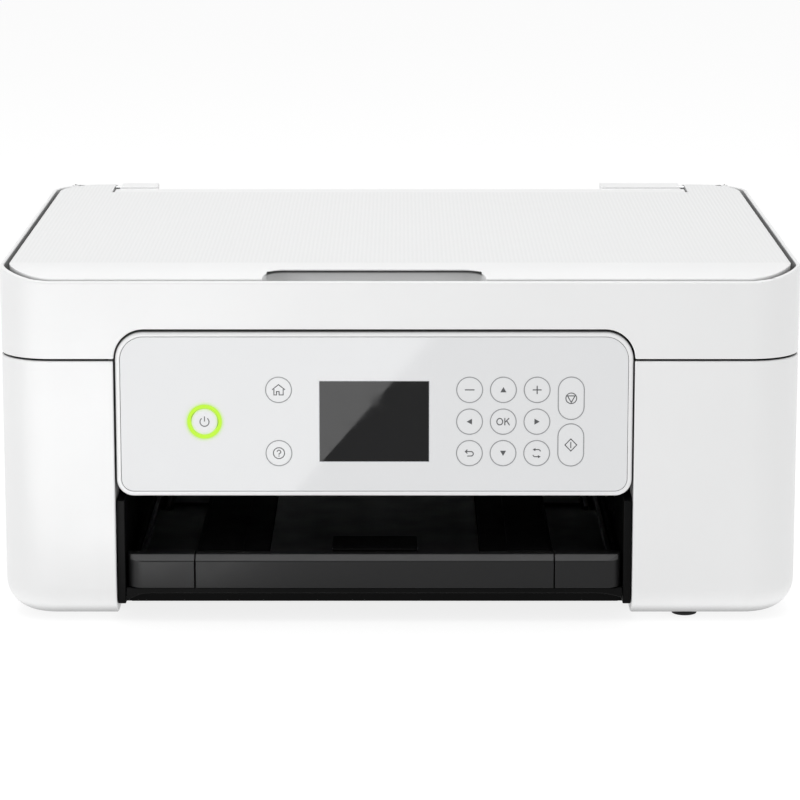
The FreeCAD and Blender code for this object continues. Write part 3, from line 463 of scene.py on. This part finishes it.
def sides_of(points, width, closed):
    """Left and right offsets of a line in the front plane, with mitred joins."""
    sharpest_join = 0.45
    count = len(points)
    left, right = [], []
    for index, point in enumerate(points):
        here = Vector(point)
        runs = []
        if closed or index > 0:
            runs.append((here - Vector(points[index - 1])).normalized())
        if closed or index < count - 1:
            runs.append((Vector(points[(index + 1) % count]) - here).normalized())
        along = sum(runs, Vector((0, 0))).normalized()
        across = Vector((-along.y, along.x))
        straight = Vector((-runs[0].y, runs[0].x))
        reach = width / 2 / max(sharpest_join, across.dot(straight))
        left.append(here + across * reach)
        right.append(here - across * reach)
    return left, right


class Drawing:
    """Thin flat solids in the front plane that make one symbol."""

    def __init__(self, centre_x, centre_z, front, back):
        self.work = bmesh.new()
        self.centre = (centre_x, centre_z)
        self.front, self.back = front, back

    def ring(self, point):
        """Front and back vertex at one point."""
        x, z = self.centre[0] + point[0] * MM, self.centre[1] + point[1] * MM
        return self.work.verts.new((x, self.front, z)), self.work.verts.new((x, self.back, z))

    def stroke(self, points, width=0.5, closed=False):
        left, right = sides_of(points, width, closed)
        pairs = [(self.ring(a), self.ring(b)) for a, b in zip(left, right)]
        spans = list(zip(pairs, pairs[1:] + pairs[:1])) if closed else list(zip(pairs, pairs[1:]))
        for (left_a, right_a), (left_b, right_b) in spans:
            for a, b, c, d in ((left_a[0], left_b[0], right_b[0], right_a[0]),
                               (left_a[1], right_a[1], right_b[1], left_b[1]),
                               (left_a[0], left_a[1], left_b[1], left_b[0]),
                               (right_a[0], right_b[0], right_b[1], right_a[1])):
                self.work.faces.new((a, b, c, d))
        if not closed:
            for left_end, right_end in (pairs[0], pairs[-1]):
                self.work.faces.new((left_end[0], right_end[0], right_end[1], left_end[1]))

    def fill(self, points):
        pairs = [self.ring(point) for point in points]
        self.work.faces.new([pair[0] for pair in pairs])
        self.work.faces.new([pair[1] for pair in reversed(pairs)])
        for first, second in zip(pairs, pairs[1:] + pairs[:1]):
            self.work.faces.new((first[0], first[1], second[1], second[0]))

    def finish(self, name, material, body):
        bmesh.ops.recalc_face_normals(self.work, faces=self.work.faces)
        mesh = bpy.data.meshes.new(name)
        self.work.to_mesh(mesh)
        self.work.free()
        obj = add_object(name, mesh, material)
        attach(obj, body)
        return obj


def mirrored(points, across=1, up=1):
    return [(across * x, up * z) for x, z in points]


TRIANGLE = [(-1.4, -1.15), (1.4, -1.15), (0, 1.3)]
POINTER = [(-1.3, 0), (1.15, 1.4), (1.15, -1.4)]


def draw_minus(pen):
    pen.stroke([(-2.25, 0), (2.25, 0)])


def draw_plus(pen):
    pen.stroke([(-2.05, 0), (2.05, 0)])
    pen.stroke([(0, -1.95), (0, -0.25)])
    pen.stroke([(0, 0.25), (0, 1.95)])


def draw_up(pen):
    pen.fill(TRIANGLE)


def draw_down(pen):
    pen.fill(mirrored(TRIANGLE, up=-1))


def draw_left(pen):
    pen.fill(POINTER)


def draw_right(pen):
    pen.fill(mirrored(POINTER, across=-1))


def draw_ok(pen):
    pen.stroke([(-1.62 + 1.36 * x, 1.52 * z) for x, z in circle(1, 28)], 0.48, True)
    pen.stroke([(0.75, -1.75), (0.75, 1.75)], 0.48)
    pen.stroke([(2.75, 1.7), (0.98, -0.22)], 0.46)
    pen.stroke([(1.62, 0.42), (2.95, -1.72)], 0.46)


def draw_back(pen):
    bend = arc((0.75, -0.32), 1.07, 90, -90, 12)[1:]
    pen.stroke([(-1.75, 0.75), (0.75, 0.75)] + bend + [(-1.0, -1.39)], 0.45)
    pen.stroke([(-0.95, 1.65), (-1.9, 0.75), (-0.95, -0.15)], 0.45)


def draw_turn(pen):
    path = [(1.8, 0.85)] + arc((0.75, 0.75), 0.95, 25, 90, 6) + [(-0.8, 1.7)]
    head = [(-0.6, 2.45), (-0.6, 0.95), (-1.9, 1.7)]
    for side in (1, -1):
        pen.stroke(mirrored(path, side, side), 0.45)
        pen.fill(mirrored(head, side, side))


def draw_stop(pen):
    pen.stroke(circle(2.5), 0.42, True)
    pen.stroke([(-1.75, 1.15), (1.75, 1.15), (0, -1.95)], 0.44, True)


def draw_start(pen):
    pen.stroke([(0, 2.9), (2.75, 0), (0, -2.9), (-2.75, 0)], 0.42, True)
    pen.stroke([(0, -1.45), (0, 1.45)], 0.45)


def draw_home(pen):
    pen.stroke([(-3.0, 0.05), (0, 2.5), (3.0, 0.05)], 0.42)
    pen.stroke([(-2.15, 0.35), (-2.15, -2.4), (-1.15, -2.4)], 0.42)
    pen.stroke([(-0.95, -2.6), (-0.95, -0.75), (0.25, -0.75), (0.25, -2.6)], 0.42)
    pen.stroke([(0.45, -2.4), (2.15, -2.4), (2.15, 0.35)], 0.42)


def draw_help(pen):
    pen.stroke(circle(2.6), 0.42, True)
    pen.stroke(arc((0, 0.55), 0.85, 175, -35, 12) + [(0.05, -0.28), (0, -0.8)], 0.42)
    pen.fill([(-0.24, -1.6), (0.24, -1.6), (0.24, -1.15), (-0.24, -1.15)])


def draw_power(pen):
    pen.stroke(arc((0, -0.1), 2.1, 128, 412, 30), 0.46)
    pen.stroke([(0, 0.1), (0, 2.5)], 0.46)


SYMBOLS = {
    "minus": draw_minus, "up": draw_up, "plus": draw_plus,
    "left": draw_left, "ok": draw_ok, "right": draw_right,
    "back": draw_back, "down": draw_down, "turn": draw_turn,
    "stop": draw_stop, "start": draw_start,
    "home": draw_home, "help": draw_help, "power": draw_power,
}
INK = 0.04 * MM
LONG_KEYS = ("stop", "start")
KEY_OUTLINE = 6.02
FINE_LINE = 0.42


def key_symbols():
    """Printed symbol on each key, and the printed line round it on the fascia."""
    for name, draw in SYMBOLS.items():
        low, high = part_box(name + "_button")
        x, z = (low.x + high.x) / 2, (low.z + high.z) / 2
        pen = Drawing(x, z, low.y - INK, low.y + INK / 4)
        draw(pen)
        pen.finish(name + "_symbol", SYMBOL, name + "_key")
        if name == "power":
            continue
        pen = Drawing(x, z, low.y - INK, low.y + INK / 4)
        if name in LONG_KEYS:
            outline = stadium(KEY_OUTLINE, (high.z - low.z) / 2 / MM - (high.x - low.x) / 2 / MM)
        else:
            outline = circle(KEY_OUTLINE, 56)
        pen.stroke(outline, FINE_LINE, True)
        pen.finish(name + "_outline", OUTLINE, "control_panel")


def display_edge():
    """Thin printed line round the display, level with the fascia in front of it."""
    low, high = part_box("display")
    inset, line = 0.1 * MM, 0.22
    fascia_face = low.y - inset
    width, height = (high.x - low.x) / 2 / MM, (high.z - low.z) / 2 / MM
    pen = Drawing((low.x + high.x) / 2, (low.z + high.z) / 2, fascia_face - INK / 2, fascia_face + INK)
    pen.stroke([(-width, -height), (width, -height), (width, height), (-width, height)], line, True)
    pen.finish("display_edge", DISPLAY_EDGE, "control_panel")


LABEL_COLORS = {
    "black": (0.02, 0.02, 0.022), "cyan": (0.0, 0.32, 0.62), "magenta": (0.62, 0.02, 0.22),
    "yellow": (0.85, 0.62, 0.01),
}


def cartridge_labels():
    """Coloured label on the top of each ink cartridge."""
    low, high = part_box("ink_cartridges")
    pitch, width, margin, thickness = 15.4 * MM, 13.4 * MM, 1.8 * MM, 0.3 * MM
    tab_height, tab_room, rear_margin = 4 * MM, 16 * MM, 6 * MM
    top = high.z - tab_height
    front, back = low.y + tab_room, high.y - rear_margin
    for number, (name, color) in enumerate(LABEL_COLORS.items()):
        left = low.x + pitch * number + margin
        right = left + width - 2 * margin
        mesh = bpy.data.meshes.new("label_" + name)
        work = bmesh.new()
        bmesh.ops.create_cube(work, size=1)
        centre = Vector(((left + right) / 2, (front + back) / 2, top))
        for vertex in work.verts:
            vertex.co = centre + Vector((vertex.co.x * (right - left), vertex.co.y * (back - front),
                                         vertex.co.z * thickness))
        work.to_mesh(mesh)
        work.free()
        label = add_object("label_" + name, mesh, printed("label_ink_" + name, color))
        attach(label, BODY_OF["ink_cartridges"])


def ring_glow():
    """Thin sheet over the light ring that carries its painted glow."""
    low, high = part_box("power_ring")
    reach, inner, outer, lift, steps = 2.6, 6.5, 8.0, 0.06 * MM, 64
    mesh = bpy.data.meshes.new("power_ring_glow")
    work = bmesh.new()
    radii = [inner - reach, inner, outer, outer + reach]
    rows = [[work.verts.new((x * MM, 0, z * MM)) for x, z in circle(radius, steps)] for radius in radii]
    for near, far in (rows[:2], rows[2:]):
        for index in range(steps):
            after = (index + 1) % steps
            work.faces.new((near[index], near[after], far[after], far[index]))
    work.to_mesh(mesh)
    work.free()
    obj = add_object("power_ring_glow", mesh, glow_material(inner * MM, outer * MM, reach * MM))
    obj.location = ((low.x + high.x) / 2, low.y - lift, (low.z + high.z) / 2)
    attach(obj, "control_panel")


# Width of the small rounded edges, in millimetres, on each part that shows.
SOFT_EDGES = {
    "left_side_cover": 0.55, "right_side_cover": 0.55, "rear_panel": 0.4, "scanner_case": 0.5,
    "panel_housing": 0.3, "panel_fascia": 0.12, "display": 0.06, "rear_cover": 0.5,
    "paper_cassette": 0.35, "tray_extension": 0.35,
    "base_pan": 0.4, "inner_frame": 0.4, "print_carriage": 0.5, "ink_cartridges": 0.5,
    "maintenance_station": 0.4, "power_inlet": 0.3, "edge_guide_left": 0.3, "edge_guide_right": 0.3,
    "sensor_carriage": 0.5, "power_supply": 0.8, "document_mat": 0.8, "rubber_feet": 0.5,
}
TRAY_EDGE = 0.35
KEY_EDGE = 0.12
LID_EDGE = 0.3


def dress_parts():
    """Soft-edged copies of the parts that show, and a material on every part."""
    for node, width in SOFT_EDGES.items():
        softened(node, width * MM)
    softened("lid_cover", LID_EDGE * MM, LID, 3)
    # The output tray and stopper get the darker copy of the tray plastic, as painted shade.
    for node in ("output_tray", "tray_stopper"):
        softened(node, TRAY_EDGE * MM, TRAY_PAINTED_SHADE)
    for name in SYMBOLS:
        softened(name + "_button", KEY_EDGE * MM)
    for node, obj in frame["nodes"].items():
        for place in obj.material_slots:
            place.material = MATERIALS[SLOT_OF[node]]


# ---------------------------------------------------------------- stage

CAMERA_PLACE = (0, -1.711, 0.4205)
CAMERA_AIM = (0, -0.150, 0.1071)
CAMERA_LENS = 154.0


def aimed(obj, target):
    direction = Vector(target) - obj.location
    obj.rotation_euler = direction.to_track_quat("-Z", "Y").to_euler()


def add_camera():
    camera = bpy.data.objects.new("camera", bpy.data.cameras.new("camera"))
    bpy.context.scene.collection.objects.link(camera)
    camera.location = CAMERA_PLACE
    aimed(camera, CAMERA_AIM)
    camera.data.lens = CAMERA_LENS
    camera.data.sensor_width = 36
    camera.data.clip_start = 0.05
    camera.data.clip_end = 60
    bpy.context.scene.camera = camera


def add_light(name, place, target, size, radiance, glossy_only=False):
    """Rectangular light of a given surface brightness."""
    light = bpy.data.lights.new(name, "AREA")
    light.shape = "RECTANGLE"
    light.size, light.size_y = size
    light.energy = radiance * math.pi * size[0] * size[1]
    obj = bpy.data.objects.new(name, light)
    bpy.context.scene.collection.objects.link(obj)
    obj.location = place
    aimed(obj, target)
    obj.visible_camera = False
    if glossy_only:
        obj.visible_diffuse = False
        obj.visible_transmission = False
    return obj


def add_floor():
    """Plain pale floor with a faint light of its own."""
    half_size = 15
    mesh = bpy.data.meshes.new("floor")
    work = bmesh.new()
    bmesh.ops.create_grid(work, x_segments=1, y_segments=1, size=half_size)
    work.to_mesh(mesh)
    work.free()
    surface = Surface("floor_paper", (0.25, 0.25, 0.25), 0.9, 0.0)
    surface.vary_color(2, 0.004)
    surface.set("Emission Color", (1, 1, 1, 1))
    surface.set("Emission Strength", 0.83)
    add_object("floor", mesh, surface.material)


def add_world():
    """Soft studio surroundings, brightest at the horizon."""
    world = bpy.data.worlds.new("studio")
    world.use_nodes = True
    tree = world.node_tree
    background = tree.nodes["Background"]
    background.inputs["Color"].default_value = (1, 1, 1, 1)
    direction = tree.nodes.new("ShaderNodeTexCoord")
    split = tree.nodes.new("ShaderNodeSeparateXYZ")
    ramp = tree.nodes.new("ShaderNodeMapRange")
    ramp.interpolation_type = "SMOOTHSTEP"
    for socket, value in (("From Min", 0.02), ("From Max", 0.30), ("To Min", 1.0), ("To Max", 0.50)):
        ramp.inputs[socket].default_value = value
    tree.links.new(direction.outputs["Generated"], split.inputs["Vector"])
    tree.links.new(split.outputs["Z"], ramp.inputs["Value"])
    tree.links.new(ramp.outputs["Result"], background.inputs["Strength"])
    bpy.context.scene.world = world


def add_lights():
    """Overhead softbox, a small key at the left, and a strip that only shows as a slanting reflection."""
    strip_x, strip_y, strip_height, strip_turn = -0.310, -0.7145, 0.004, 9.5
    add_light("overhead", place=(-0.12, -0.02, 1.7), target=(0, 0, 0.1), size=(1.6, 1.6), radiance=2.2)
    add_light("left_key", place=(-0.75, -0.6, 0.42), target=(0, -0.1, 0.1), size=(0.5, 0.5), radiance=0.6)
    strip = add_light("floor_glow", place=(strip_x, strip_y, strip_height), target=(strip_x, strip_y, 1.0),
                      size=(0.6, 0.9), radiance=5.5, glossy_only=True)
    strip.rotation_euler = (math.pi, 0, math.radians(strip_turn))


dress_parts()
key_symbols()
display_edge()
cartridge_labels()
ring_glow()
add_floor()
add_world()
add_lights()
add_camera()
bpy.context.scene.view_settings.view_transform = "Standard"
